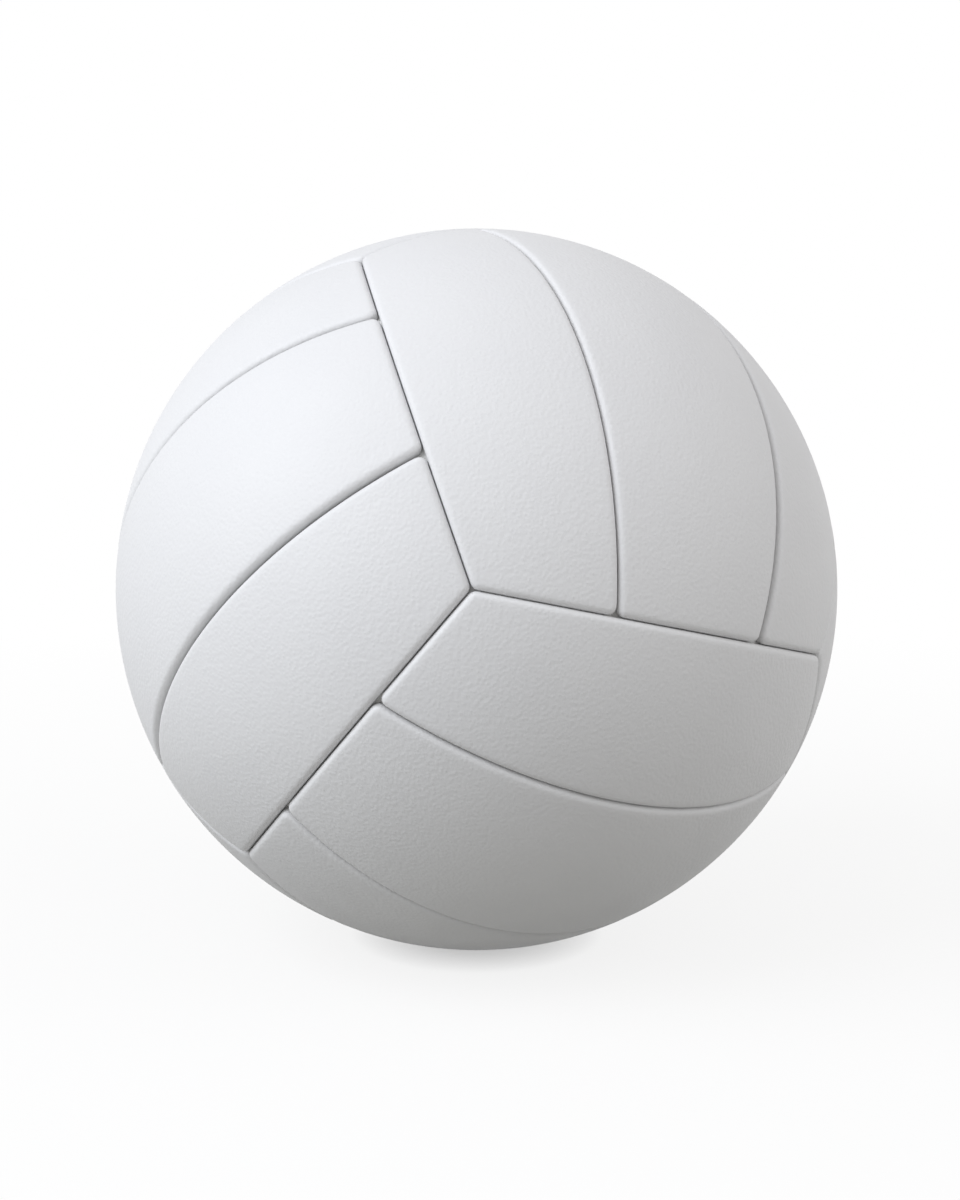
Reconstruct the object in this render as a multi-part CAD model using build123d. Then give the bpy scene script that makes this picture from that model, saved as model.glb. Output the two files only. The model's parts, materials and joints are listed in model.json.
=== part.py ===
from build123d import *

import os
from math import isclose, pi, sqrt

# An inflated indoor volleyball, taken apart as it is made: a bladder with its valve, a layer of
# wound thread, a rubber carcass, and eighteen covers with a foam pad under each.
# The covers lie in six groups of three strips, and each group's strips run square to its neighbours'.
# Lengths are in millimetres and angles in degrees. The origin is the ball's centre and +Z is up.

# Size of the inflated ball
CIRCUMFERENCE = 660.0

# Straight widths over a group's middle strip, half-way along it and at its ends
MIDDLE_WIDTH = 61.5
MIDDLE_END_WIDTH = 48.7

# Layers from the outside in, with the film of glue or air between each two
SKIN_THICKNESS = 1.2
FOAM_THICKNESS = 1.8
CARCASS_THICKNESS = 0.5
WINDING_THICKNESS = 0.4
BLADDER_THICKNESS = 0.5
BOND_THICKNESS = 0.15

# Panels: the open seam between two covers, and the rounding of a foam pad's rim and corners
SEAM_GAP = 0.2
PAD_SHOULDER_RADIUS = 0.6
PAD_CORNER_RADIUS = 1.2
MOST_OF_WALL = 0.8

# Valve core, a rubber plug that pulls out of its seat, with a blind guide hole for the needle
NEEDLE_RADIUS = 1.0
NEEDLE_CLEARANCE = 0.1
GUIDE_DEPTH = 9.0
FUNNEL_DEPTH = 0.7
FUNNEL_FLARE_WIDTH = 0.6
CORE_WALL_THICKNESS = 1.1
HEAD_HEIGHT = 1.2
HEAD_LIP_WIDTH = 0.7
TIP_LENGTH = 3.0
TIP_TAPER_WIDTH = 1.0

# Valve seat, a rubber boss round the core, on a flange that is bonded inside the bladder
CORE_CLEARANCE = 0.1
NECK_WALL_THICKNESS = 1.0
NECK_RECESS_DEPTH = 0.3
BOSS_SHOULDER_WIDTH = 2.5
BOSS_DEPTH = 11.0
FLANGE_THICKNESS = 1.5
FLANGE_WIDTH = 9.5
SEAT_CLEARANCE = 0.2

# How the ball lies: turns of the panel layout about X, then its new Y, then its new Z
LIE_X = 31.4
LIE_Y = 31.8
LIE_Z = -162.1

# Radii of the layers' faces, from the ball's surface to the bladder's inside
ball_radius = CIRCUMFERENCE / (2 * pi)
skin_base = ball_radius - SKIN_THICKNESS
pad_top = skin_base - BOND_THICKNESS
pad_base = pad_top - FOAM_THICKNESS
carcass_top = pad_base - BOND_THICKNESS
carcass_base = carcass_top - CARCASS_THICKNESS
winding_top = carcass_base - BOND_THICKNESS
winding_base = winding_top - WINDING_THICKNESS
bladder_top = winding_base - BOND_THICKNESS
bladder_base = bladder_top - BLADDER_THICKNESS
flange_top = bladder_base - BOND_THICKNESS
flange_base = flange_top - FLANGE_THICKNESS

# Distances from a seam's middle to a cover, to the hollow inside it and to its pad
skin_inset = SEAM_GAP / 2
hollow_inset = skin_inset + SKIN_THICKNESS
pad_inset = hollow_inset + BOND_THICKNESS

# A pad's rim is rounded as far as its wall and corners allow, and its cover is even round it
pad_shoulder = min(PAD_SHOULDER_RADIUS, MOST_OF_WALL * min(FOAM_THICKNESS, PAD_CORNER_RADIUS))
hollow_shoulder = pad_shoulder + BOND_THICKNESS
skin_shoulder = hollow_shoulder + SKIN_THICKNESS
hollow_corner = PAD_CORNER_RADIUS + BOND_THICKNESS
skin_corner = hollow_corner + SKIN_THICKNESS


def height_on(sphere_radius, off_axis):
    """How far along an axis through the centre a cylinder of radius off_axis meets a sphere."""
    return sqrt(sphere_radius**2 - off_axis**2)


# Panels, made on the group that faces +Y, whose strips run along X


def long_seam():
    """The plane between a middle and a side strip, as a normal towards the side and an offset.

    It runs along X, and holds the ball's surface at half of each width of the middle strip.
    A strip ends where x and y are alike.
    """
    mid_z = MIDDLE_WIDTH / 2
    mid_y = height_on(ball_radius, mid_z)
    end_z = MIDDLE_END_WIDTH / 2
    end_y = height_on(ball_radius, end_z) / sqrt(2)
    normal = Vector(0, end_z - mid_z, mid_y - end_y).normalized()
    return normal, normal.dot(Vector(0, mid_y, mid_z))


seam_normal, seam_offset = long_seam()
mirrored_normal = Vector(0, seam_normal.Y, -seam_normal.Z)
left_end = (Vector(-1, -1, 0).normalized(), 0)
right_end = (Vector(1, -1, 0).normalized(), 0)
group_edge = (Vector(0, -1, 1).normalized(), 0)

# Each strip's four side planes: outward normals and offsets from the ball's centre
MIDDLE_STRIP = [left_end, right_end, (seam_normal, seam_offset), (mirrored_normal, seam_offset)]
SIDE_STRIP = [left_end, right_end, (-seam_normal, -seam_offset), group_edge]


def slab(strip, inset, top, base, corner, shoulder):
    """A strip of the ball between two radii, inset from its side planes, with a rounded outer rim."""
    block = Sphere(top) - Sphere(base)
    for normal, offset in strip:
        side = Plane(origin=normal * (offset - inset), z_dir=normal)
        block = split(block, bisect_by=side, keep=Keep.BOTTOM)
    block = fillet(block.edges().filter_by(GeomType.LINE), corner)
    rim = block.edges().filter_by(lambda edge: isclose((edge @ 0.5).length, top))
    return fillet(rim, shoulder)


def cover(strip):
    """A synthetic-leather cover whose edge is turned down round its pad to the carcass."""
    outside = slab(strip, skin_inset, ball_radius, pad_base, skin_corner, skin_shoulder)
    hollow = slab(strip, hollow_inset, skin_base, carcass_base, hollow_corner, hollow_shoulder)
    return outside - hollow


def pad(strip):
    """The foam pad inside a cover."""
    return slab(strip, pad_inset, pad_top, pad_base, PAD_CORNER_RADIUS, pad_shoulder)


# Valve, made on the +Y axis


def turned(*outline):
    """A solid turned about +Y from its half outline, as points of radius and height."""
    return revolve(make_face(Polyline(*outline, close=True)), Axis.Y)


def plug(radius, foot, top):
    """A cylinder on +Y between two heights."""
    return turned((0, foot), (radius, foot), (radius, top), (0, top))


# Radii from the needle outwards, and heights above the ball's centre
guide_radius = NEEDLE_RADIUS + NEEDLE_CLEARANCE
shank_radius = guide_radius + CORE_WALL_THICKNESS
head_radius = shank_radius + HEAD_LIP_WIDTH
neck_radius = head_radius + CORE_CLEARANCE + NECK_WALL_THICKNESS
boss_radius = neck_radius + BOSS_SHOULDER_WIDTH
skin_hole_radius = neck_radius + SEAT_CLEARANCE
boss_hole_radius = boss_radius + SEAT_CLEARANCE
boss_foot = flange_base - BOSS_DEPTH
boss_top = height_on(pad_top, boss_radius)
neck_top = height_on(ball_radius, skin_hole_radius) - NECK_RECESS_DEPTH
head_foot = neck_top - HEAD_HEIGHT
core_foot = boss_foot - TIP_LENGTH
guide_foot = neck_top - GUIDE_DEPTH


def valve_seat():
    """The rubber seat: a curved flange, a boss through the layers and a neck in the cover's hole."""
    flange_disc = plug(boss_radius + FLANGE_WIDTH, 0, ball_radius)
    flange = (Sphere(flange_top) - Sphere(flange_base)) & flange_disc
    boss = plug(boss_radius, boss_foot, boss_top)
    neck = plug(neck_radius, boss_foot, neck_top)
    bore = plug(shank_radius + CORE_CLEARANCE, 0, ball_radius)
    counterbore = plug(head_radius + CORE_CLEARANCE, head_foot, ball_radius)
    return flange + boss + neck - bore - counterbore


def valve_core():
    """The plug: a head that seats in the neck, a shank down the bore and a tapered tip inside."""
    body = turned(
        (0, core_foot),
        (shank_radius - TIP_TAPER_WIDTH, core_foot),
        (shank_radius, boss_foot),
        (shank_radius, head_foot),
        (head_radius, head_foot),
        (head_radius, neck_top),
        (0, neck_top),
    )
    guide = turned(
        (0, guide_foot),
        (guide_radius, guide_foot),
        (guide_radius, neck_top - FUNNEL_DEPTH),
        (guide_radius + FUNNEL_FLARE_WIDTH, neck_top),
        (0, neck_top),
    )
    return body - guide


def shell(top, base):
    """A hollow layer with the hole that the valve's boss goes through."""
    return Sphere(top) - Sphere(base) - plug(boss_hole_radius, 0, ball_radius)


# Places: a group's turn from the +Y group, and each strip's turn within its group

HALF_TURN = 180
THIRD_TURN = 120
half_turn = Rotation(HALF_TURN, 0, 0)
lie = Rotation(LIE_X, LIE_Y, LIE_Z)


def third_turns(count):
    """Turns of a third about the corner where the three front groups meet."""
    return Location((0, 0, 0), (1, 1, 1), THIRD_TURN * count)


GROUPS = {
    "front": third_turns(0),
    "top": third_turns(1),
    "left": third_turns(2),
    "back": third_turns(0) * half_turn,
    "bottom": third_turns(1) * half_turn,
    "right": third_turns(2) * half_turn,
}
STRIPS = {
    "middle": (MIDDLE_STRIP, Location()),
    "side_1": (SIDE_STRIP, Location()),
    "side_2": (SIDE_STRIP, Rotation(0, HALF_TURN, 0)),
}
VALVE_GROUP = "back"
VALVE_STRIP = "middle"


def main():
    """Builds every piece, and writes each to its own file."""
    valve_place = lie * GROUPS[VALVE_GROUP]
    pieces = {
        "bladder": valve_place * shell(bladder_top, bladder_base),
        "thread_winding": valve_place * shell(winding_top, winding_base),
        "carcass": valve_place * shell(carcass_top, carcass_base),
        "valve_seat": valve_place * valve_seat(),
        "valve_core": valve_place * valve_core(),
    }
    for strip_name, (strip, strip_turn) in STRIPS.items():
        strip_cover = cover(strip)
        strip_pad = pad(strip)
        for group_name, group_turn in GROUPS.items():
            place = lie * group_turn * strip_turn
            has_valve = (group_name, strip_name) == (VALVE_GROUP, VALVE_STRIP)
            if has_valve:
                group_cover = strip_cover - plug(skin_hole_radius, 0, ball_radius)
                group_pad = strip_pad - plug(boss_hole_radius, 0, ball_radius)
            else:
                group_cover = strip_cover
                group_pad = strip_pad
            pieces[f"{group_name}_{strip_name}_cover"] = place * group_cover
            pieces[f"{group_name}_{strip_name}_pad"] = place * group_pad
    os.makedirs("parts", exist_ok=True)
    for name, piece in pieces.items():
        export_step(piece, f"parts/{name}.step")


main()
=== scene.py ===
# %% [markdown]
# # A white volleyball, dressed panel by panel
#
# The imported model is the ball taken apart: a bladder with its valve, a thread winding, a rubber
# carcass, and eighteen leather covers with a foam pad under each.
# It is loaded first and stays as it is. Everything made here is laid round it, in metres.

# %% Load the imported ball
import json
import math

import bmesh
import bpy
from mathutils import Matrix, Vector


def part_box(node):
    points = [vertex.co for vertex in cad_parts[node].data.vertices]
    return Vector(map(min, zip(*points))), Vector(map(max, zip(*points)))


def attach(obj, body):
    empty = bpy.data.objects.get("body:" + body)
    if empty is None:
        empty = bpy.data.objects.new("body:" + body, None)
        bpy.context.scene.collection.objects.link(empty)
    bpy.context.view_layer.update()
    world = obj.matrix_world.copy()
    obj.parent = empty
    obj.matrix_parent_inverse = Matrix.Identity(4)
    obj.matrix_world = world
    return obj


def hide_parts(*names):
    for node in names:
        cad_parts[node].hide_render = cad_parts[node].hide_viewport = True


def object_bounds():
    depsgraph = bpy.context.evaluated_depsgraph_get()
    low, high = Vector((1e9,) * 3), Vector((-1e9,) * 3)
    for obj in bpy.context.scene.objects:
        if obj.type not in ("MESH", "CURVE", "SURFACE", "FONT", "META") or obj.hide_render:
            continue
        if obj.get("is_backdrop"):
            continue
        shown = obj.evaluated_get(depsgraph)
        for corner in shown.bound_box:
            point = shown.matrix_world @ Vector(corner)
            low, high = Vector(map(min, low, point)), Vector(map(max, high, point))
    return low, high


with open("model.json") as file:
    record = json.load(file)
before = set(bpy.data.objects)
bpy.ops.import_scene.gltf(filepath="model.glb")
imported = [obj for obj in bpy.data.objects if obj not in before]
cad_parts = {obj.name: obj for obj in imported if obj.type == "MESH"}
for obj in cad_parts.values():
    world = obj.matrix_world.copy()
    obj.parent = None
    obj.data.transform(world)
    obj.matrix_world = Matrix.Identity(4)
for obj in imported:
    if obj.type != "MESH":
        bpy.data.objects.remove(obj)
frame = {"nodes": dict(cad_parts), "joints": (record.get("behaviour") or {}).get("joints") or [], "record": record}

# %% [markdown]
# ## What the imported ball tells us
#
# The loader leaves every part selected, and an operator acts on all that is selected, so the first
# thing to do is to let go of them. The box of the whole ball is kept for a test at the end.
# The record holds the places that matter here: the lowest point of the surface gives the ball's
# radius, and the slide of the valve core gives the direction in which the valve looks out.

MM = 0.001
bpy.ops.object.select_all(action="DESELECT")
cad_low, cad_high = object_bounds()

mounts = {mount["name"]: mount for mount in frame["record"]["mounts"]}
BALL_RADIUS = -mounts["cradle_seat"]["pos_m"][2]
VALVE_AXIS = Vector(frame["joints"][0]["axis"]).normalized()
print(f"ball radius {BALL_RADIUS / MM:.2f} mm, valve looks along {tuple(round(v, 3) for v in VALVE_AXIS)}")

# %% [markdown]
# ## The camera
#
# The photograph was taken from about 0.9 m with a long lens, which shows a little less than half of
# the ball. The camera stands in front (the ball's -Y side), looks slightly down, and aims a touch
# below and beside the centre, because the ball doesn't sit quite in the middle of the picture.

# %% Set up the camera
CAMERA_DISTANCE = 907 * MM
CAMERA_ELEVATION = math.radians(12)
CAMERA_LENS_MM = 92.9
CAMERA_SENSOR_MM = 36
AIM_RIGHT = 1.0 * MM
AIM_DOWN = 3.1 * MM

to_camera = Vector((0, -math.cos(CAMERA_ELEVATION), math.sin(CAMERA_ELEVATION)))
camera_turn = to_camera.to_track_quat("Z", "Y")
aim = camera_turn @ Vector((AIM_RIGHT, -AIM_DOWN, 0))
camera_place = to_camera * CAMERA_DISTANCE

bpy.ops.object.camera_add(location=camera_place)
camera = bpy.context.active_object
camera.name = "photo_camera"
camera.rotation_euler = (camera_place - aim).to_track_quat("Z", "Y").to_euler()
camera.data.lens = CAMERA_LENS_MM
camera.data.sensor_width = CAMERA_SENSOR_MM
bpy.context.scene.camera = camera
print(f"camera at {tuple(round(v, 3) for v in camera_place)}")

# %% [markdown]
# ## Helpers for nodes
#
# Every material below is a small graph of nodes. A few helpers keep the graphs short to read: one
# adds a node with its settings, one starts a material with its shader and its coordinates, and the
# others set up the kinds of node that are needed more than once.
# Textures read Object coordinates: all pieces sit at the origin with their place in their mesh, so
# one metre of texture is one metre of ball, and the pattern never repeats from panel to panel.


# %% Node helpers
def add_node(tree, kind, **settings):
    """Adds a node to a tree and sets its properties by name."""
    node = tree.nodes.new(kind)
    for name, value in settings.items():
        setattr(node, name, value)
    return node


def start_material(name):
    """Makes a node material and returns it with its tree, shader and object coordinates."""
    material = bpy.data.materials.new(name)
    material.use_nodes = True
    tree = material.node_tree
    shader = tree.nodes["Principled BSDF"]
    coordinates = add_node(tree, "ShaderNodeTexCoord")
    return material, tree, shader, coordinates.outputs["Object"]


def noise(tree, coordinates, cell, detail=2.0):
    """A noise texture whose blobs are about one cell wide, in metres."""
    texture = add_node(tree, "ShaderNodeTexNoise")
    texture.inputs["Scale"].default_value = 1 / cell
    texture.inputs["Detail"].default_value = detail
    tree.links.new(coordinates, texture.inputs["Vector"])
    return texture.outputs["Fac"]


def remap(tree, value, low, high, from_low=0.0, from_high=1.0):
    """Stretches a value from one range to another."""
    node = add_node(tree, "ShaderNodeMapRange")
    node.inputs["From Min"].default_value = from_low
    node.inputs["From Max"].default_value = from_high
    node.inputs["To Min"].default_value = low
    node.inputs["To Max"].default_value = high
    tree.links.new(value, node.inputs["Value"])
    return node.outputs["Result"]


def ramp(tree, value, *stops):
    """Turns a value into a colour between two stops, each a position and a colour."""
    node = add_node(tree, "ShaderNodeValToRGB")
    for element, (position, colour) in zip(node.color_ramp.elements, stops):
        element.position = position
        element.color = (*colour, 1)
    tree.links.new(value, node.inputs["Fac"])
    return node.outputs["Color"]


def bump(tree, height, depth, under=None):
    """Raises a surface by a height of 0 to 1 times a depth in metres, over another bump if given."""
    node = add_node(tree, "ShaderNodeBump")
    node.inputs["Distance"].default_value = depth
    tree.links.new(height, node.inputs["Height"])
    if under is not None:
        tree.links.new(under, node.inputs["Normal"])
    return node.outputs["Normal"]


# %% [markdown]
# ## The floor and the white background
#
# The picture's background is plain white. A floor that is lit to white would throw so much light up
# that the ball's underside would lose its shade. So the floor is two things: for light that bounces
# off it, a mid grey; for the camera and for reflections, a white that still takes the ball's soft
# shadow. The light path node tells the two apart, and the world does the same above the floor.
# Near the ball a part of the white is a matt surface, which is what takes the shadow, and right
# where the ball touches the floor it is the larger part. Further off the lamps no longer light it
# evenly, so there it is all glow. The distance from the ball's centre tells how near a point is.


# %% Tell seen rays from light rays
def seen_rays(tree):
    """1 for rays that the camera, a reflection or a clear material sees, and 0 for scattered light."""
    path = add_node(tree, "ShaderNodeLightPath")
    first = add_node(tree, "ShaderNodeMath", operation="MAXIMUM")
    tree.links.new(path.outputs["Is Camera Ray"], first.inputs[0])
    tree.links.new(path.outputs["Is Glossy Ray"], first.inputs[1])
    second = add_node(tree, "ShaderNodeMath", operation="MAXIMUM")
    tree.links.new(first.outputs[0], second.inputs[0])
    tree.links.new(path.outputs["Is Transmission Ray"], second.inputs[1])
    return second.outputs[0]


# %% Lay the floor
FLOOR_SIZE = 40.0
FLOOR_BOUNCE = (0.345, 0.34, 0.315, 1)
SHADOW_COLOUR = (0.97, 0.97, 0.97, 1)
SHADOW_SHARE = 0.16
SHADOW_NEAR = 0.12
SHADOW_FAR = 0.45
CONTACT_SHARE = 0.6
CONTACT_FAR = 0.114


def floor_material():
    """Grey for scattered light, and a white glow with a matt share near the ball where it is seen."""
    material, tree, shader, coordinates = start_material("studio_floor")
    tree.nodes.remove(shader)
    centre_distance = add_node(tree, "ShaderNodeVectorMath", operation="LENGTH")
    tree.links.new(coordinates, centre_distance.inputs[0])
    distance = centre_distance.outputs["Value"]
    wide_share = remap(tree, distance, SHADOW_SHARE, 0.0, SHADOW_NEAR, SHADOW_FAR)
    contact_share = remap(tree, distance, CONTACT_SHARE, 0.0, BALL_RADIUS, CONTACT_FAR)
    matt_share = add_node(tree, "ShaderNodeMath", operation="MAXIMUM")
    tree.links.new(wide_share, matt_share.inputs[0])
    tree.links.new(contact_share, matt_share.inputs[1])
    glow = add_node(tree, "ShaderNodeEmission")
    matt = add_node(tree, "ShaderNodeBsdfDiffuse")
    matt.inputs["Color"].default_value = SHADOW_COLOUR
    seen = add_node(tree, "ShaderNodeMixShader")
    tree.links.new(matt_share.outputs[0], seen.inputs["Fac"])
    tree.links.new(glow.outputs[0], seen.inputs[1])
    tree.links.new(matt.outputs[0], seen.inputs[2])
    bounce = add_node(tree, "ShaderNodeBsdfDiffuse")
    bounce.inputs["Color"].default_value = FLOOR_BOUNCE
    either = add_node(tree, "ShaderNodeMixShader")
    tree.links.new(seen_rays(tree), either.inputs["Fac"])
    tree.links.new(bounce.outputs[0], either.inputs[1])
    tree.links.new(seen.outputs[0], either.inputs[2])
    tree.links.new(either.outputs[0], tree.nodes["Material Output"].inputs["Surface"])
    return material


bpy.ops.mesh.primitive_plane_add(size=FLOOR_SIZE, location=(0, 0, -BALL_RADIUS))
floor = bpy.context.active_object
floor.name = "studio_floor"
bpy.ops.object.transform_apply(location=True, rotation=True, scale=True)
floor.data.materials.append(floor_material())
floor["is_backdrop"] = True
print(f"floor at z = {-BALL_RADIUS / MM:.2f} mm")

# %% [markdown]
# ## Studio light
#
# In the photograph the upper left is brightest, the shade falls off softly to the lower right, and
# there is no hard shadow. A large soft light on the upper left does most of that. A weak one on the
# right keeps that side from going dull, and the world gives the rest of the light evenly from all
# sides.
# The levels are plain: a surface that faces the main light comes out about as bright as its colour.

# %% The world's even light
WORLD_LEVEL = 0.365
WORLD_COLOUR = (1.0, 0.98, 0.98, 1)


def world_light():
    """Even light for the scene, and white where the world itself is seen."""
    world = bpy.data.worlds.new("studio_world")
    world.use_nodes = True
    tree = world.node_tree
    ambient = tree.nodes["Background"]
    ambient.inputs["Color"].default_value = WORLD_COLOUR
    ambient.inputs["Strength"].default_value = WORLD_LEVEL
    white = add_node(tree, "ShaderNodeBackground")
    white.inputs["Color"].default_value = (1, 1, 1, 1)
    either = add_node(tree, "ShaderNodeMixShader")
    tree.links.new(seen_rays(tree), either.inputs["Fac"])
    tree.links.new(ambient.outputs[0], either.inputs[1])
    tree.links.new(white.outputs[0], either.inputs[2])
    tree.links.new(either.outputs[0], tree.nodes["World Output"].inputs["Surface"])
    return world


bpy.context.scene.world = world_light()
print(f"world: level {WORLD_LEVEL}")

# %% Place the lamps
LAMP_DISTANCE = 1.6
LAMP_SIZE = 1.3
MAIN_COLOUR = (0.925, 0.955, 1.0)


def soft_lamp(name, azimuth, elevation, level, colour=(1, 1, 1)):
    """A square soft light that faces the ball; level is the brightness it gives a white surface.

    Azimuth 0 is the camera's side and negative is the viewer's left.
    """
    turn = math.radians(azimuth)
    rise = math.radians(elevation)
    direction = Vector((math.sin(turn) * math.cos(rise), -math.cos(turn) * math.cos(rise), math.sin(rise)))
    bpy.ops.object.light_add(type="AREA", location=direction * LAMP_DISTANCE)
    lamp = bpy.context.active_object
    lamp.name = name
    lamp.rotation_euler = direction.to_track_quat("Z", "Y").to_euler()
    lamp.data.size = LAMP_SIZE
    lamp.data.color = colour
    lamp.data.energy = level * math.pi**2 * LAMP_DISTANCE**2
    print(f"{name}: level {level}")


soft_lamp("main_light", azimuth=-60, elevation=36, level=0.815, colour=MAIN_COLOUR)
soft_lamp("fill_light", azimuth=75, elevation=30, level=0.285)
bpy.context.scene.view_settings.view_transform = "Standard"

# %% [markdown]
# ## How the panels divide the ball
#
# The ball is divided as a cube is: six groups of three strips, and the strips of one group run
# square to those of its neighbours. Think of the group that faces +Y, with its strips along X.
# Its ends and long edges are great circles, where a cube's edges would be. The two seams inside the
# group are flatter circles: the middle strip is widest half-way and narrows to its ends.
# Each such circle lies in a plane, so a plane's tilt and its offset from the centre describe it.
# On a real ball not all seams close equally well. In the photograph the two seams inside the left
# group, and the right one of the top group, show a broader dark line than the others. For those there
# are two more kinds of side strip, a little narrower, whose inner edge stands further back than their
# outer edge: a loose one, and an open one for the seams that gape most.

# %% Work out the seams
MIDDLE_WIDTH = 61.5 * MM
MIDDLE_END_WIDTH = 48.7 * MM
GROUP_EDGE_TILT = math.radians(45)
LOOSE_INNER = 0.55 * MM
OPEN_INNER = 0.85 * MM
LOOSE_OUTER = 0.15 * MM


def inner_seam():
    """Tilt and offset of the plane of the seam between a middle and a side strip."""
    mid_across = MIDDLE_WIDTH / 2
    mid_out = math.sqrt(BALL_RADIUS**2 - mid_across**2)
    end_across = MIDDLE_END_WIDTH / 2
    end_out = math.sqrt((BALL_RADIUS**2 - end_across**2) / 2)
    tilt = math.atan2(mid_across - end_across, mid_out - end_out)
    return tilt, mid_across * math.cos(tilt) - mid_out * math.sin(tilt)


seam_tilt, seam_offset = inner_seam()
# Each kind of strip by its two long edges, and each edge by a tilt and an offset
STRIPS = {
    "middle": ((-seam_tilt, -seam_offset), (seam_tilt, seam_offset)),
    "side": ((seam_tilt, seam_offset), (GROUP_EDGE_TILT, 0.0)),
    "loose_side": ((seam_tilt, seam_offset + LOOSE_INNER), (GROUP_EDGE_TILT, -LOOSE_OUTER)),
    "open_side": ((seam_tilt, seam_offset + OPEN_INNER), (GROUP_EDGE_TILT, -LOOSE_OUTER)),
}
print(f"inner seams tilt {math.degrees(seam_tilt):.2f} degrees, {seam_offset / MM:.2f} mm off centre")


# %% A point of a strip
def on_ball(strip, along, across, inset, radius):
    """The point at a share along and across a strip, both from -1 to 1, inset from its edges.

    It is where a plane across the strip, a plane along it and the sphere meet.
    """
    turn = along * GROUP_EDGE_TILT
    (near_tilt, near_offset), (far_tilt, far_offset) = strip
    share = (across + 1) / 2
    tilt = near_tilt + (far_tilt - near_tilt) * share
    offset = (near_offset + inset) * (1 - share) + (far_offset - inset) * share
    x_slope, x_start = math.tan(turn), -along * inset / math.cos(turn)
    z_slope, z_start = math.tan(tilt), offset / math.cos(tilt)
    square = 1 + x_slope**2 + z_slope**2
    half = x_slope * x_start + z_slope * z_start
    rest = x_start**2 + z_start**2 - radius**2
    y = (math.sqrt(half**2 - square * rest) - half) / square
    return Vector((x_slope * y + x_start, y, z_slope * y + z_start))


# %% [markdown]
# ## One leather cover
#
# On the real ball a cover is cut flat, laid over its pad and glued down with its edge turned under.
# The model goes the same way. A flat grid is the blank, and it is laid on the ball by moving each
# point to its place in the strip. The corners are rounded off with a vertex bevel, the rim is
# extruded towards the ball's centre, which is the turned edge, and an edge bevel rounds the shoulder
# between the two. A grid bends evenly and stays clean at the seams. Cutting the strip out of a
# sphere would leave slivers along every cut, and those shade badly.

# %% Sizes of a cover
SKIN = 1.2 * MM
SEAM_GAP = 0.2 * MM
COVER_HEIGHT = 3.15 * MM
COVER_CORNER = 2.55 * MM
COVER_SHOULDER = 1.95 * MM
GRID_STEP = 4.5 * MM
SHARP_RIM = math.radians(60)
ROUND_STEPS = 5


# %% Lay a flat blank on the ball
def lay_blank(name, strip, inset, radius):
    """Adds a flat grid and moves its points to their places in a strip of the ball."""
    length = (on_ball(strip, 1, 0, inset, radius) - on_ball(strip, -1, 0, inset, radius)).length
    width = (on_ball(strip, 0, 1, inset, radius) - on_ball(strip, 0, -1, inset, radius)).length
    columns = 2 * round(length / GRID_STEP / 2)
    rows = 2 * round(width / GRID_STEP / 2)
    bpy.ops.object.select_all(action="DESELECT")
    bpy.ops.mesh.primitive_grid_add(x_subdivisions=columns, y_subdivisions=rows, size=2)
    blank = bpy.context.active_object
    blank.name = name
    for vertex in blank.data.vertices:
        vertex.co = on_ball(strip, vertex.co.x, -vertex.co.y, inset, radius)
    print(f"{name}: blank of {columns} by {rows} squares")
    return blank


# %% Round the corners
CORNERS = 4
CORNER_EDGES = 2


def round_next_corner(blank, radius):
    """Rounds one corner that is still sharp: a point where only two edges of the blank meet.

    How far the rounding reaches along the edges depends on the angle between them.
    """
    bpy.ops.mesh.select_all(action="DESELECT")
    mesh = bmesh.from_edit_mesh(blank.data)
    sharpest = None
    for vertex in mesh.verts:
        if len(vertex.link_edges) != CORNER_EDGES:
            continue
        first, second = (edge.other_vert(vertex).co - vertex.co for edge in vertex.link_edges)
        angle = first.angle(second)
        if sharpest is None or angle < sharpest[0]:
            sharpest = angle, vertex
    angle, vertex = sharpest
    vertex.select = True
    bmesh.update_edit_mesh(blank.data)
    bpy.ops.mesh.bevel(
        offset_type="ABSOLUTE",
        offset=radius / math.tan(angle / 2),
        segments=ROUND_STEPS,
        affect="VERTICES",
        clamp_overlap=False,
    )


# %% Turn the edge down and round the shoulder
def turn_edges(blank, height, radius, corner, shoulder):
    """Gives a blank its rounded corners, its turned edge and its rounded shoulder."""
    bpy.ops.object.mode_set(mode="EDIT")
    bpy.ops.mesh.select_mode(type="VERT")
    for _ in range(CORNERS):
        round_next_corner(blank, corner)

    bpy.ops.mesh.select_mode(type="EDGE")
    bpy.ops.mesh.select_all(action="DESELECT")
    bpy.ops.mesh.select_non_manifold(use_wire=False, use_multi_face=False, use_non_contiguous=False)
    bpy.ops.mesh.extrude_edges_move()
    shrink = (radius - height) / radius
    bpy.ops.transform.resize(value=(shrink, shrink, shrink), center_override=(0, 0, 0))

    bpy.ops.mesh.select_all(action="DESELECT")
    bpy.ops.mesh.edges_select_sharp(sharpness=SHARP_RIM)
    bpy.ops.mesh.bevel(offset=shoulder, segments=ROUND_STEPS, affect="EDGES", clamp_overlap=False)
    bpy.ops.object.mode_set(mode="OBJECT")


# %% [markdown]
# A leather cover is a sheet, so the shell gets its thickness from Solidify, which grows inwards and
# leaves the outside where it is. One level of subdivision before that rounds the facets of the grid.


# %% Smooth a shell and give it its thickness
def apply_modifier(piece, kind, **settings):
    """Adds a modifier with its settings and applies it."""
    bpy.ops.object.select_all(action="DESELECT")
    piece.select_set(True)
    bpy.context.view_layer.objects.active = piece
    bpy.ops.object.modifier_add(type=kind)
    modifier = piece.modifiers[-1]
    for name, value in settings.items():
        setattr(modifier, name, value)
    bpy.ops.object.modifier_apply(modifier=modifier.name)


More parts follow.
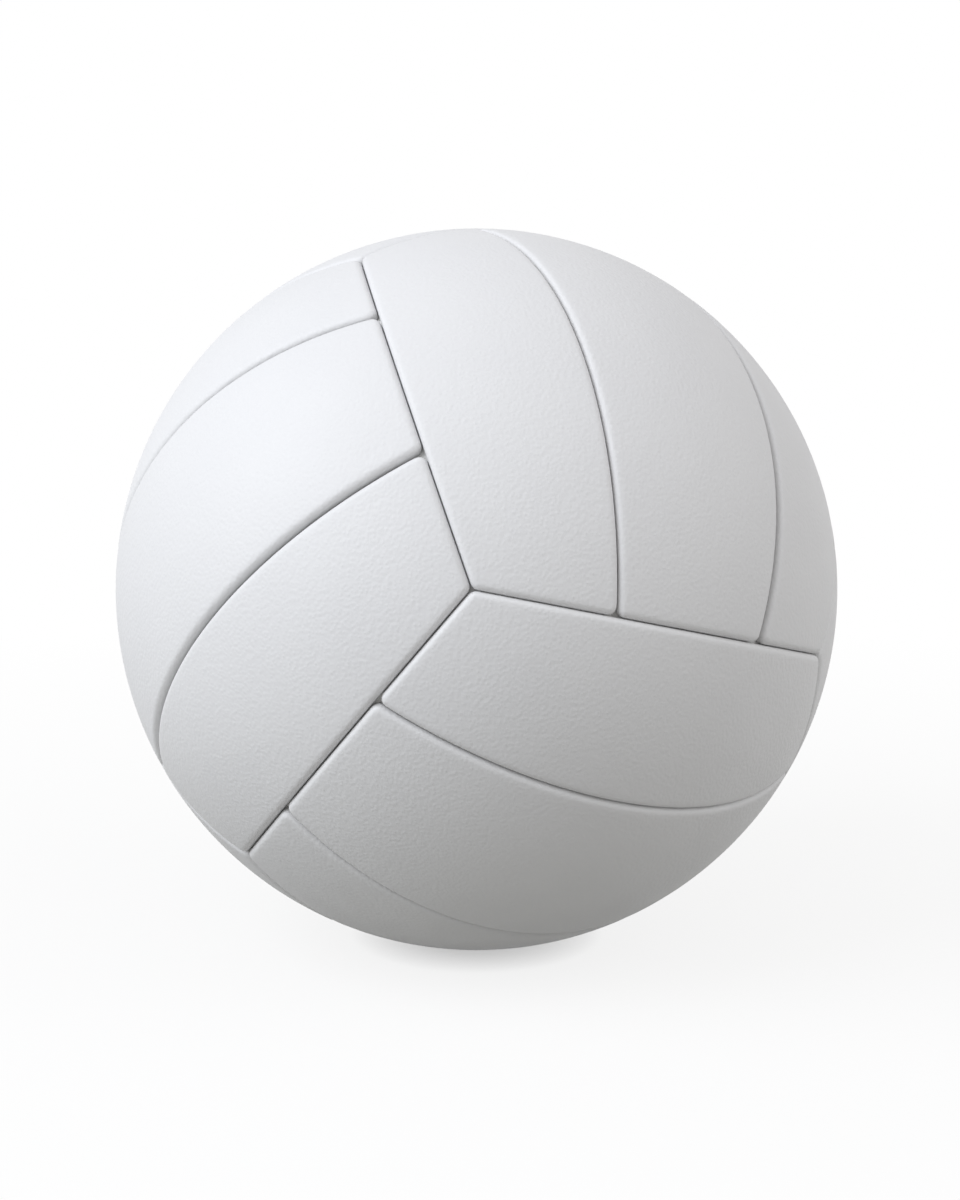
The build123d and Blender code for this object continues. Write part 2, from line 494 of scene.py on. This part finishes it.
def finish_cover(piece):
    """Smooths a cover's shell and gives it the leather's thickness."""
    apply_modifier(piece, "SUBSURF", levels=1, render_levels=1)
    apply_modifier(piece, "SOLIDIFY", thickness=SKIN, offset=-1)
    bpy.ops.object.shade_smooth()
    print(f"{piece.name}: {len(piece.data.polygons)} faces")


def model_cover(name, strip):
    """Models one cover of the group that faces +Y, up to its thickness."""
    piece = lay_blank(name, strip, SEAM_GAP / 2, BALL_RADIUS)
    turn_edges(piece, COVER_HEIGHT, BALL_RADIUS, COVER_CORNER, COVER_SHOULDER)
    return piece


cover_models = {}
for kind, strip in STRIPS.items():
    cover_models[kind] = model_cover(f"{kind}_cover_model", strip)
    finish_cover(cover_models[kind])

# %% [markdown]
# ## The cover with the valve's hole
#
# One cover of a ball has a small round hole for the valve, in the middle of a middle strip.
# A Boolean with a cylinder would be quick, but it leaves long thin faces round the hole, and they
# shade like dents. So the hole is worked into the grid: the squares in the middle are deleted, the
# opening is drawn to a circle, and its edge is extruded inwards ring by ring until it is small enough.

# %% Open a round hole in a blank
HOLE_BLOCK = 1.5 * GRID_STEP
HOLE_RIM = 2.5 * GRID_STEP
FIRST_RING = 9.5 * MM


def select_near_axis(blank, reach):
    """Selects the points within a square round +Y."""
    bpy.ops.mesh.select_all(action="DESELECT")
    mesh = bmesh.from_edit_mesh(blank.data)
    for vertex in mesh.verts:
        vertex.select = max(abs(vertex.co.x), abs(vertex.co.z)) < reach
    mesh.select_flush(True)
    bmesh.update_edit_mesh(blank.data)


def draw_to_circle(blank, ring, radius):
    """Moves the selected points to a circle round +Y, on the sphere of a radius."""
    mesh = bmesh.from_edit_mesh(blank.data)
    for vertex in mesh.verts:
        if vertex.select:
            out = Vector((vertex.co.x, 0, vertex.co.z)).normalized() * ring
            vertex.co = out + Vector((0, math.sqrt(radius**2 - ring**2), 0))
    bmesh.update_edit_mesh(blank.data)


def open_hole(blank, radius, *rings):
    """Opens a hole round +Y whose edge steps inwards over rings of a radius each."""
    bpy.ops.object.mode_set(mode="EDIT")
    bpy.ops.mesh.select_mode(type="VERT")
    select_near_axis(blank, HOLE_BLOCK)
    bpy.ops.mesh.delete(type="VERT")
    select_near_axis(blank, HOLE_RIM)
    draw_to_circle(blank, FIRST_RING, radius)
    for ring in rings:
        bpy.ops.mesh.extrude_edges_move()
        draw_to_circle(blank, ring, radius)
    bpy.ops.object.mode_set(mode="OBJECT")


# %% [markdown]
# Subdivision pulls an open edge in by about two hundredths of its radius, so the last ring is made
# that much wider. The rim of the hole is then eased with a small bevel, as a punched edge wears.

# %% Model the valve's cover
HOLE_RADIUS = 4.2 * MM
HOLE_RINGS = (6.9 * MM, 5.3 * MM)
SMOOTHING_PULL = 1.02
HOLE_EASE = 0.35 * MM
EASE_STEPS = 3


def ease_hole(piece, hole, outside):
    """Bevels the outer rim of a hole round +Y."""
    bpy.ops.object.mode_set(mode="EDIT")
    bpy.ops.mesh.select_mode(type="EDGE")
    bpy.ops.mesh.select_all(action="DESELECT")
    mesh = bmesh.from_edit_mesh(piece.data)
    for edge in mesh.edges:
        edge.select = all(
            math.hypot(vertex.co.x, vertex.co.z) < hole * SMOOTHING_PULL and vertex.co.length > outside
            for vertex in edge.verts
        )
    bmesh.update_edit_mesh(piece.data)
    bpy.ops.mesh.bevel(offset=HOLE_EASE, segments=EASE_STEPS, affect="EDGES", clamp_overlap=False)
    bpy.ops.object.mode_set(mode="OBJECT")


valve_cover = model_cover("valve_cover_model", STRIPS["middle"])
open_hole(valve_cover, BALL_RADIUS, *HOLE_RINGS, HOLE_RADIUS * SMOOTHING_PULL)
finish_cover(valve_cover)
ease_hole(valve_cover, HOLE_RADIUS, BALL_RADIUS - SKIN / 2)
cover_models["valve"] = valve_cover
print(f"valve_cover_model: hole of {2 * HOLE_RADIUS / MM:.1f} mm")

# %% [markdown]
# ## Eighteen covers from five
#
# A third of a turn about the corner where three groups meet carries one group to the next, and half
# a turn carries it to the opposite side. Within a group the two side covers are half a turn apart.
# Last, the whole layout is turned to the way the ball lies in the picture.
# Each copy has its own mesh, and its place is applied to that mesh, so the object stays at the origin.
# The special places are the valve's, the three loose seams that show, and as many on the far side,
# which the photograph doesn't show.

# %% Where the groups and strips go
LIE_X = math.radians(31.4)
LIE_Y = math.radians(31.8)
LIE_Z = math.radians(-162.1)
lie = Matrix.Rotation(LIE_X, 4, "X") @ Matrix.Rotation(LIE_Y, 4, "Y") @ Matrix.Rotation(LIE_Z, 4, "Z")
half_turn = Matrix.Rotation(math.pi, 4, "X")


def third_turns(count):
    """Thirds of a turn about the corner where the three front groups meet."""
    return Matrix.Rotation(count * math.tau / 3, 4, Vector((1, 1, 1)))


GROUPS = {
    "front": third_turns(0),
    "top": third_turns(1),
    "left": third_turns(2),
    "back": third_turns(0) @ half_turn,
    "bottom": third_turns(1) @ half_turn,
    "right": third_turns(2) @ half_turn,
}
STRIP_PLACES = {
    "middle": ("middle", Matrix.Identity(4)),
    "side_1": ("side", Matrix.Identity(4)),
    "side_2": ("side", Matrix.Rotation(math.pi, 4, "Y")),
}
SPECIAL_PLACES = {
    "back_middle": "valve",
    "left_side_1": "loose_side",
    "left_side_2": "loose_side",
    "top_side_2": "open_side",
    "back_side_2": "open_side",
    "right_side_1": "loose_side",
    "bottom_side_1": "open_side",
}


# %% Copy a model to its places
def place_copy(model, name, turn):
    """Copies a model with its own mesh and turns the copy to its place."""
    bpy.ops.object.select_all(action="DESELECT")
    model.select_set(True)
    bpy.context.view_layer.objects.active = model
    bpy.ops.object.duplicate()
    piece = bpy.context.active_object
    piece.name = name
    piece.matrix_world = turn
    bpy.ops.object.transform_apply(location=True, rotation=True, scale=True)
    return piece


def place_strips(models, ending):
    """Copies the models to all eighteen places, and removes the models."""
    placed = {}
    for group, group_turn in GROUPS.items():
        for strip, (kind, strip_turn) in STRIP_PLACES.items():
            place = f"{group}_{strip}"
            model = models[SPECIAL_PLACES.get(place, kind)]
            placed[place] = place_copy(model, f"{place}_{ending}", lie @ group_turn @ strip_turn)
    for model in models.values():
        bpy.data.objects.remove(model)
    return placed


covers = place_strips(cover_models, "leather")

# %% [markdown]
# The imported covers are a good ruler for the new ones: their boxes should agree, apart from what the
# loose and the open strips are narrower.


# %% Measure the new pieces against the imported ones
def worst_box_difference(pieces, ending):
    """The furthest that a corner of a new piece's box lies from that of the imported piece."""
    worst = 0
    for place, piece in pieces.items():
        low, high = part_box(f"{place}_{ending}")
        corners = [vertex.co for vertex in piece.data.vertices]
        for axis in range(3):
            along = [corner[axis] for corner in corners]
            worst = max(worst, abs(min(along) - low[axis]), abs(max(along) - high[axis]))
    return worst


print(f"{len(covers)} covers; boxes differ by {worst_box_difference(covers, 'cover') / MM:.2f} mm at most")

# %% [markdown]
# ## The finish of the covers
#
# The covers are white synthetic leather with a fine pebble grain that shows only from close by.
# The grain is two bumps: small cells with soft valleys between them, and a broader unevenness.
# The colour is a white that varies very slightly. Down in the seams it is greyer, which is painted
# shade for the crease. All pieces sit at the origin, so the length of the object coordinate is
# the distance from the ball's centre, and that tells how deep in a seam a point lies.

# %% White leather
GRAIN = 1.0 * MM
GRAIN_DEPTH = 0.08 * MM
GRAIN_VALLEY = 0.7
UNEVEN = 14 * MM
UNEVEN_DEPTH = 0.1 * MM
TINT_PATCH = 40 * MM
SEAM_DEPTH = 2.2 * MM
LEATHER_DULL = (0.84, 0.843, 0.856)
LEATHER_CLEAN = (0.858, 0.861, 0.872)
# The grey of the painted shade at the bottom of the seams
LEATHER_SEAM_SHADE = (0.7, 0.7, 0.7, 1)
SATIN_LOW = 0.5
SATIN_HIGH = 0.64


def white_leather():
    """White leather with a fine grain and a satin surface, with painted shade greying it down in the seams."""
    material, tree, shader, coordinates = start_material("white_leather")
    pebbles = add_node(tree, "ShaderNodeTexVoronoi", feature="SMOOTH_F1")
    pebbles.inputs["Scale"].default_value = 1 / GRAIN
    tree.links.new(coordinates, pebbles.inputs["Vector"])
    grain = remap(tree, pebbles.outputs["Distance"], 1.0, 0.0, 0.0, GRAIN_VALLEY)
    broad = noise(tree, coordinates, UNEVEN)
    tint = noise(tree, coordinates, TINT_PATCH)
    leather_tint = ramp(tree, tint, (0.3, LEATHER_DULL), (0.7, LEATHER_CLEAN))

    centre_distance = add_node(tree, "ShaderNodeVectorMath", operation="LENGTH")
    tree.links.new(coordinates, centre_distance.inputs[0])
    height = centre_distance.outputs["Value"]
    # Painted shade: towards the bottom of a seam the colour turns greyer
    seam_shade = remap(tree, height, 1.0, 0.0, BALL_RADIUS - SEAM_DEPTH, BALL_RADIUS - SEAM_DEPTH / 4)
    colour = add_node(tree, "ShaderNodeMix", data_type="RGBA")
    tree.links.new(seam_shade, colour.inputs["Factor"])
    tree.links.new(leather_tint, colour.inputs["A"])
    colour.inputs["B"].default_value = LEATHER_SEAM_SHADE
    tree.links.new(colour.outputs["Result"], shader.inputs["Base Color"])

    tree.links.new(remap(tree, broad, SATIN_LOW, SATIN_HIGH), shader.inputs["Roughness"])
    uneven = bump(tree, broad, UNEVEN_DEPTH)
    tree.links.new(bump(tree, grain, GRAIN_DEPTH, under=uneven), shader.inputs["Normal"])
    return material


# %% Dress the covers
def dress(pieces, material, node_ending):
    """Gives pieces their finish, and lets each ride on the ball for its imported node."""
    for place, piece in pieces.items():
        piece.data.materials.clear()
        piece.data.materials.append(material)
        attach(piece, "ball")
        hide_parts(f"{place}_{node_ending}")


dress(covers, white_leather(), "cover")
print(f"{len(covers)} covers dressed in white leather")

# %% [markdown]
# ## The foam pads
#
# Under each cover lies a pad of soft foam, which gives the ball its cushioned touch. It is cut from
# sheet, so it is the same kind of blank as the cover, only smaller and thicker, with its upper rim
# a little rounded. It is glued between the cover and the carcass, which press it to their own
# curve, so no simulation is needed to find its shape.

# %% Model the pads
PAD_INSET = 1.45 * MM
PAD_DEPTH = 1.35 * MM
PAD_TOP = BALL_RADIUS - PAD_DEPTH
PAD_THICKNESS = 1.8 * MM
PAD_CORNER = 1.2 * MM
PAD_SHOULDER = 0.6 * MM
PAD_HOLE_RADIUS = 6.7 * MM
SMOOTH_ANGLE = math.radians(40)


def cut_pad(name, strip):
    """Cuts a pad's blank with rounded corners."""
    piece = lay_blank(name, strip, PAD_INSET, PAD_TOP)
    bpy.ops.object.mode_set(mode="EDIT")
    bpy.ops.mesh.select_mode(type="VERT")
    for _ in range(CORNERS):
        round_next_corner(piece, PAD_CORNER)
    bpy.ops.object.mode_set(mode="OBJECT")
    return piece


def thicken_pad(piece):
    """Gives a pad's blank its thickness and rounds the rim that is under the cover."""
    apply_modifier(piece, "SOLIDIFY", thickness=PAD_THICKNESS, offset=-1)
    bpy.ops.object.mode_set(mode="EDIT")
    bpy.ops.mesh.select_mode(type="EDGE")
    bpy.ops.mesh.select_all(action="DESELECT")
    bpy.ops.mesh.edges_select_sharp(sharpness=SHARP_RIM)
    mesh = bmesh.from_edit_mesh(piece.data)
    for edge in mesh.edges:
        middle = (edge.verts[0].co + edge.verts[1].co) / 2
        if middle.length < PAD_TOP - PAD_THICKNESS / 4:
            edge.select_set(False)
    bmesh.update_edit_mesh(piece.data)
    bpy.ops.mesh.bevel(offset=PAD_SHOULDER, segments=EASE_STEPS, affect="EDGES", clamp_overlap=False)
    bpy.ops.object.mode_set(mode="OBJECT")
    bpy.ops.object.shade_smooth_by_angle(angle=SMOOTH_ANGLE)


pad_models = {kind: cut_pad(f"{kind}_pad_model", strip) for kind, strip in STRIPS.items()}
pad_models["valve"] = cut_pad("valve_pad_model", STRIPS["middle"])
open_hole(pad_models["valve"], PAD_TOP, PAD_HOLE_RADIUS)
for pad_model in pad_models.values():
    thicken_pad(pad_model)
pads = place_strips(pad_models, "foam")
print(f"{len(pads)} pads; boxes differ by {worst_box_difference(pads, 'pad') / MM:.2f} mm at most")

# %% [markdown]
# Closed-cell foam looks like fine bread: a warm off-white full of small round cells. A cell texture
# gives both the dimples and the slight shade in each of them.

# %% Foam finish
FOAM_CELL = 0.7 * MM
FOAM_DIMPLE = 0.12 * MM
FOAM_HOLLOW = (0.6, 0.56, 0.47)
FOAM_WALL = (0.8, 0.77, 0.69)
FOAM_HOLLOW_ROUGHNESS = 0.95
FOAM_WALL_ROUGHNESS = 0.8


def soft_foam():
    """Off-white foam with small cells."""
    material, tree, shader, coordinates = start_material("soft_foam")
    cells = add_node(tree, "ShaderNodeTexVoronoi")
    cells.inputs["Scale"].default_value = 1 / FOAM_CELL
    tree.links.new(coordinates, cells.inputs["Vector"])
    distance = cells.outputs["Distance"]
    colour = ramp(tree, distance, (0.0, FOAM_HOLLOW), (0.6, FOAM_WALL))
    tree.links.new(colour, shader.inputs["Base Color"])
    tree.links.new(bump(tree, distance, FOAM_DIMPLE), shader.inputs["Normal"])
    roughness = remap(tree, distance, FOAM_HOLLOW_ROUGHNESS, FOAM_WALL_ROUGHNESS)
    tree.links.new(roughness, shader.inputs["Roughness"])
    return material


dress(pads, soft_foam(), "pad")
print(f"{len(pads)} pads dressed in foam")

# %% [markdown]
# ## The valve
#
# The valve is two rubber pieces. The collar is bonded inside the bladder by its flange and comes out
# through all layers to the hole in the cover. The plug sits in it, and a pump's needle goes down the
# plug's guide hole. Both are round, so they are turned: a circle is extruded and resized from ring to
# ring along an outline. The outline is a list of radii and heights above the ball's centre. A small
# bevel then takes off the moulding's sharp edges.

# %% Turn a round piece from an outline
RING_POINTS = 64
MOULD_EASE = 0.12 * MM
MOULD_ANGLE = math.radians(30)
TOUCHING = 0.001 * MM


def turn_outline(name, outline):
    """Turns an outline of radii and heights about the valve's axis, and closes what stays open."""
    bpy.ops.object.select_all(action="DESELECT")
    radius, height = outline[0]
    bpy.ops.mesh.primitive_circle_add(vertices=RING_POINTS, radius=radius, location=(0, 0, height))
    piece = bpy.context.active_object
    piece.name = name
    bpy.ops.object.transform_apply(location=True, rotation=True, scale=True)
    bpy.ops.object.mode_set(mode="EDIT")
    bpy.ops.mesh.select_mode(type="EDGE")
    bpy.ops.mesh.select_all(action="SELECT")
    for next_radius, next_height in outline[1:]:
        bpy.ops.mesh.extrude_edges_move(TRANSFORM_OT_translate={"value": (0, 0, next_height - height)})
        scale = next_radius / radius
        bpy.ops.transform.resize(value=(scale, scale, 1), center_override=(0, 0, next_height))
        radius, height = next_radius, next_height
    bpy.ops.mesh.select_all(action="SELECT")
    bpy.ops.mesh.remove_doubles(threshold=TOUCHING)
    bpy.ops.mesh.fill_holes(sides=RING_POINTS)
    bpy.ops.mesh.select_all(action="SELECT")
    bpy.ops.mesh.normals_make_consistent(inside=False)
    bpy.ops.mesh.select_all(action="DESELECT")
    bpy.ops.mesh.edges_select_sharp(sharpness=MOULD_ANGLE)
    bpy.ops.mesh.bevel(offset=MOULD_EASE, segments=EASE_STEPS, affect="EDGES", clamp_overlap=False)
    bpy.ops.object.mode_set(mode="OBJECT")
    bpy.ops.object.shade_smooth_by_angle(angle=SMOOTH_ANGLE)
    piece.matrix_world = VALVE_AXIS.to_track_quat("Z", "Y").to_matrix().to_4x4()
    bpy.ops.object.transform_apply(location=True, rotation=True, scale=True)
    print(f"{name}: {len(piece.data.polygons)} faces")
    return piece


# %% Sizes of the valve
NECK_TOP = 104.66 * MM
HEAD_FOOT = 103.46 * MM
BOSS_FOOT = 87.39 * MM
PLUG_FOOT = 84.39 * MM
GUIDE_FOOT = 95.66 * MM
FUNNEL_FOOT = 103.96 * MM
FLANGE_TOP = 99.89 * MM
FLANGE_BASE = 98.39 * MM
GUIDE_RADIUS = 1.1 * MM
FUNNEL_RADIUS = 1.7 * MM
SHANK_RADIUS = 2.2 * MM
TIP_RADIUS = 1.2 * MM
HEAD_RADIUS = 2.9 * MM
PLUG_CLEARANCE = 0.1 * MM
NECK_RADIUS = 4.0 * MM
BOSS_RADIUS = 6.5 * MM
FLANGE_RADIUS = 16.0 * MM
FLANGE_STEPS = 3


def height_on(sphere, off_axis):
    """The height at which a distance from the axis meets a sphere round the ball's centre."""
    return math.sqrt(sphere**2 - off_axis**2)


# %% Turn the plug
plug = turn_outline(
    "valve_plug",
    [
        (TIP_RADIUS, PLUG_FOOT),
        (SHANK_RADIUS, BOSS_FOOT),
        (SHANK_RADIUS, HEAD_FOOT),
        (HEAD_RADIUS, HEAD_FOOT),
        (HEAD_RADIUS, NECK_TOP),
        (FUNNEL_RADIUS, NECK_TOP),
        (GUIDE_RADIUS, FUNNEL_FOOT),
        (GUIDE_RADIUS, GUIDE_FOOT),
    ],
)

# %% Turn the collar
flange_steps = [
    BOSS_RADIUS + (FLANGE_RADIUS - BOSS_RADIUS) * step / FLANGE_STEPS for step in range(FLANGE_STEPS + 1)
]
bore_radius = SHANK_RADIUS + PLUG_CLEARANCE
collar = turn_outline(
    "valve_collar",
    [
        (bore_radius, BOSS_FOOT),
        (BOSS_RADIUS, BOSS_FOOT),
        *((radius, height_on(FLANGE_BASE, radius)) for radius in flange_steps),
        *((radius, height_on(FLANGE_TOP, radius)) for radius in reversed(flange_steps)),
        (BOSS_RADIUS, height_on(PAD_TOP, BOSS_RADIUS)),
        (NECK_RADIUS, height_on(PAD_TOP, BOSS_RADIUS)),
        (NECK_RADIUS, NECK_TOP),
        (HEAD_RADIUS + PLUG_CLEARANCE, NECK_TOP),
        (HEAD_RADIUS + PLUG_CLEARANCE, HEAD_FOOT),
        (bore_radius, HEAD_FOOT),
        (bore_radius, BOSS_FOOT),
    ],
)

# %% [markdown]
# Moulded rubber is dark grey and nearly matt, with a faint bloom: a pale film that comes to the
# surface in patches.

# %% Valve rubber
BLOOM_PATCH = 3 * MM
RUBBER_GRAIN = 0.25 * MM
RUBBER_GRAIN_DEPTH = 0.01 * MM
RUBBER_SMOOTH = 0.45
RUBBER_ROUGH = 0.7
RUBBER_SHINE = 0.4
BLOOM_DETAIL = 4


def moulded_rubber(name, dark, bloomed):
    """Matt rubber whose colour shifts a little where it has bloomed."""
    material, tree, shader, coordinates = start_material(name)
    patches = noise(tree, coordinates, BLOOM_PATCH, detail=BLOOM_DETAIL)
    grain = noise(tree, coordinates, RUBBER_GRAIN)
    tree.links.new(ramp(tree, patches, (0.35, dark), (0.7, bloomed)), shader.inputs["Base Color"])
    tree.links.new(remap(tree, patches, RUBBER_SMOOTH, RUBBER_ROUGH), shader.inputs["Roughness"])
    tree.links.new(bump(tree, grain, RUBBER_GRAIN_DEPTH), shader.inputs["Normal"])
    shader.inputs["Specular IOR Level"].default_value = RUBBER_SHINE
    return material


valve_rubber = moulded_rubber("valve_rubber", dark=(0.035, 0.035, 0.037), bloomed=(0.06, 0.06, 0.06))
for piece, body, node in ((plug, "valve_core", "valve_core"), (collar, "ball", "valve_seat")):
    piece.data.materials.append(valve_rubber)
    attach(piece, body)
    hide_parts(node)
    print(f"{piece.name} dressed in rubber, rides on {body}")

# %% [markdown]
# ## The inner layers
#
# The carcass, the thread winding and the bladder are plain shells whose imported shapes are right, so
# they stay and only get their finish. The carcass is pale rubber, which shows as the floor of the
# seams. The winding is thread laid round and round in all directions: three sets of bands cross
# there. The bladder is black rubber.

# %% Thread finish
THREAD = 0.6 * MM
THREAD_DEPTH = 0.15 * MM
THREAD_WANDER = 0.6
THREAD_SHADE = (0.42, 0.4, 0.35)
THREAD_CREST = (0.75, 0.73, 0.68)
THREAD_ROUGHNESS = 0.7
THREAD_TURNS = ((0, 0, 0), (0.9, 0.4, 0), (-0.7, 1.1, 0.5))


def wound_thread():
    """Off-white thread, laid in three crossing directions."""
    material, tree, shader, coordinates = start_material("wound_thread")
    highest = None
    for turn in THREAD_TURNS:
        direction = add_node(tree, "ShaderNodeMapping")
        direction.inputs["Rotation"].default_value = turn
        tree.links.new(coordinates, direction.inputs["Vector"])
        bands = add_node(tree, "ShaderNodeTexWave")
        bands.inputs["Scale"].default_value = 1 / (THREAD * math.tau)
        bands.inputs["Distortion"].default_value = THREAD_WANDER
        tree.links.new(direction.outputs["Vector"], bands.inputs["Vector"])
        if highest is None:
            highest = bands.outputs["Fac"]
            continue
        over = add_node(tree, "ShaderNodeMath", operation="MAXIMUM")
        tree.links.new(highest, over.inputs[0])
        tree.links.new(bands.outputs["Fac"], over.inputs[1])
        highest = over.outputs[0]
    colour = ramp(tree, highest, (0.2, THREAD_SHADE), (0.8, THREAD_CREST))
    tree.links.new(colour, shader.inputs["Base Color"])
    tree.links.new(bump(tree, highest, THREAD_DEPTH), shader.inputs["Normal"])
    shader.inputs["Roughness"].default_value = THREAD_ROUGHNESS
    return material


# %% Dress the inner layers
inner_finishes = {
    "carcass": moulded_rubber("pale_rubber", dark=(0.76, 0.76, 0.75), bloomed=(0.84, 0.84, 0.83)),
    "thread_winding": wound_thread(),
    "bladder": moulded_rubber("bladder_rubber", dark=(0.02, 0.02, 0.021), bloomed=(0.04, 0.04, 0.04)),
}
for node, finish in inner_finishes.items():
    layer = frame["nodes"][node]
    layer.data.materials.clear()
    layer.data.materials.append(finish)
print(f"{len(inner_finishes)} inner layers dressed")

# %% [markdown]
# ## A last test
#
# The dressed ball must be as large as the imported one. How far it stands beyond the imported box is printed.

# %% Compare the boxes and finish
visual_low, visual_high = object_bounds()
growth = max(max(cad_low - visual_low), max(visual_high - cad_high))
print(f"the dressed ball stands {growth / MM:.2f} mm proud of the packed one at most")
